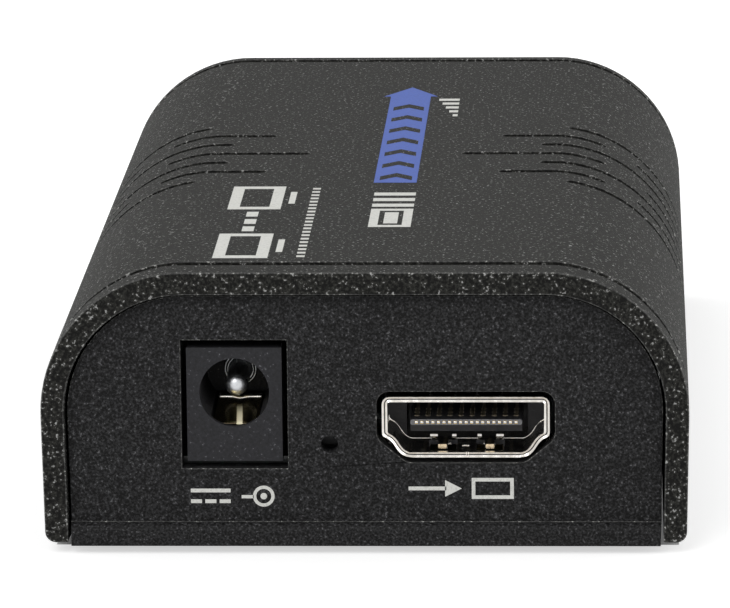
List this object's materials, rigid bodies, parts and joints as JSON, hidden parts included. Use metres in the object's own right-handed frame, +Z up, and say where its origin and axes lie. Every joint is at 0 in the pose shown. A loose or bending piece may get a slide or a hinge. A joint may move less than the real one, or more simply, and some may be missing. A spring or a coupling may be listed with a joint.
{
  "type": "video extender box",
  "caption": "Low black plastic signal extender box with round shoulders, vent slots, power jack, video socket, reset pinhole, network socket and infrared jack.",
  "frame": {"origin": "middle of the casing's plan at the table, at the underside of the rubber feet", "axes": "+Y along the casing's depth from the front panel to the back, +Z up, +X to the right seen from the front"},
  "size_m": [0.0584, 0.107, 0.0261],
  "materials": {
    "cover_plastic": "fine moulded grain, satin",
    "base_plastic": "spark-eroded grain",
    "foot_rubber": "matte",
    "screw_steel": "zinc plated",
    "board_laminate": "solder mask, semi-gloss",
    "plated_sheet": "bright nickel plated sheet",
    "tinned_metal": "tinned",
    "contact_gold": "gold flash over brass",
    "spring_brass": "bright",
    "socket_plastic": "smooth, satin",
    "jack_plastic": "smooth, satin",
    "plunger_plastic": "smooth",
    "lamp_resin": "clear tinted",
    "chip_resin": "moulded resin",
    "pad_silicone": "soft, matte",
    "sink_aluminium": "extruded",
    "ferrite": "moulded ferrite",
    "can_aluminium": "drawn cans",
    "fuse_resin": "smooth",
    "capacitor_ceramic": "fired ceramic",
    "resistor_body": "glazed"
  },
  "bodies": {
    "casing": {"top_cover": "cover_plastic", "base_shell": "base_plastic", "rubber_feet": "foot_rubber", "cover_screws": "screw_steel", "main_board": "board_laminate", "video_socket_shield": "plated_sheet", "video_socket_insulator": "socket_plastic", "video_socket_contacts": "contact_gold", "dc_jack_housing": "jack_plastic", "dc_jack_pin": "tinned_metal", "dc_jack_spring_terminal": "tinned_metal", "dc_jack_switch_contact": "tinned_metal", "reset_switch_body": "socket_plastic", "reset_switch_cover": "plated_sheet", "network_socket_shield": "plated_sheet", "network_socket_housing": "socket_plastic", "network_socket_pins": "tinned_metal", "network_socket_windows": "lamp_resin", "infrared_jack_housing": "socket_plastic", "infrared_jack_terminals": "tinned_metal", "status_lamps": "lamp_resin", "status_lamp_legs": "tinned_metal", "processor_chip": "chip_resin", "thermal_pad": "pad_silicone", "heat_sink": "sink_aluminium", "receiver_chip": "chip_resin", "memory_chip": "chip_resin", "flash_chip": "chip_resin", "network_chip": "chip_resin", "network_transformer": "chip_resin", "crystals": "tinned_metal", "power_inductors": "ferrite", "electrolytic_capacitors": "can_aluminium", "voltage_regulators": "chip_resin", "input_fuse": "fuse_resin", "chip_capacitors": "capacitor_ceramic", "chip_resistors": "resistor_body", "chip_legs": "tinned_metal"},
    "reset_plunger": {"reset_switch_plunger": "plunger_plastic"},
    "leaf_spring": {"dc_jack_spring": "spring_brass"},
    "network_wires": {"network_socket_contacts": "contact_gold"},
    "infrared_contact": {"infrared_jack_spring": "spring_brass"}
  },
  "joints": [
    {"name": "reset_press", "type": "slide", "parent": "casing", "child": "reset_plunger", "axis": [0, 1, 0], "range_m": [0, 0.00025], "stiffness_N_per_m": 4000},
    {"name": "power_contact_flex", "type": "hinge", "parent": "casing", "child": "leaf_spring", "pos_m": [-0.01175, -0.0398, 0.0103], "axis": [1, 0, 0], "range_deg": [0, 6.3], "stiffness_Nm_per_rad": 0.1},
    {"name": "network_contact_flex", "type": "hinge", "parent": "casing", "child": "network_wires", "pos_m": [0.009, 0.0512, 0.0197], "axis": [-1, 0, 0], "range_deg": [0, 9], "stiffness_Nm_per_rad": 0.2},
    {"name": "infrared_contact_flex", "type": "hinge", "parent": "casing", "child": "infrared_contact", "pos_m": [-0.00495, 0.0461, 0.0113], "axis": [0, 0, 1], "range_deg": [0, 2.4], "stiffness_Nm_per_rad": 0.05}
  ]
}
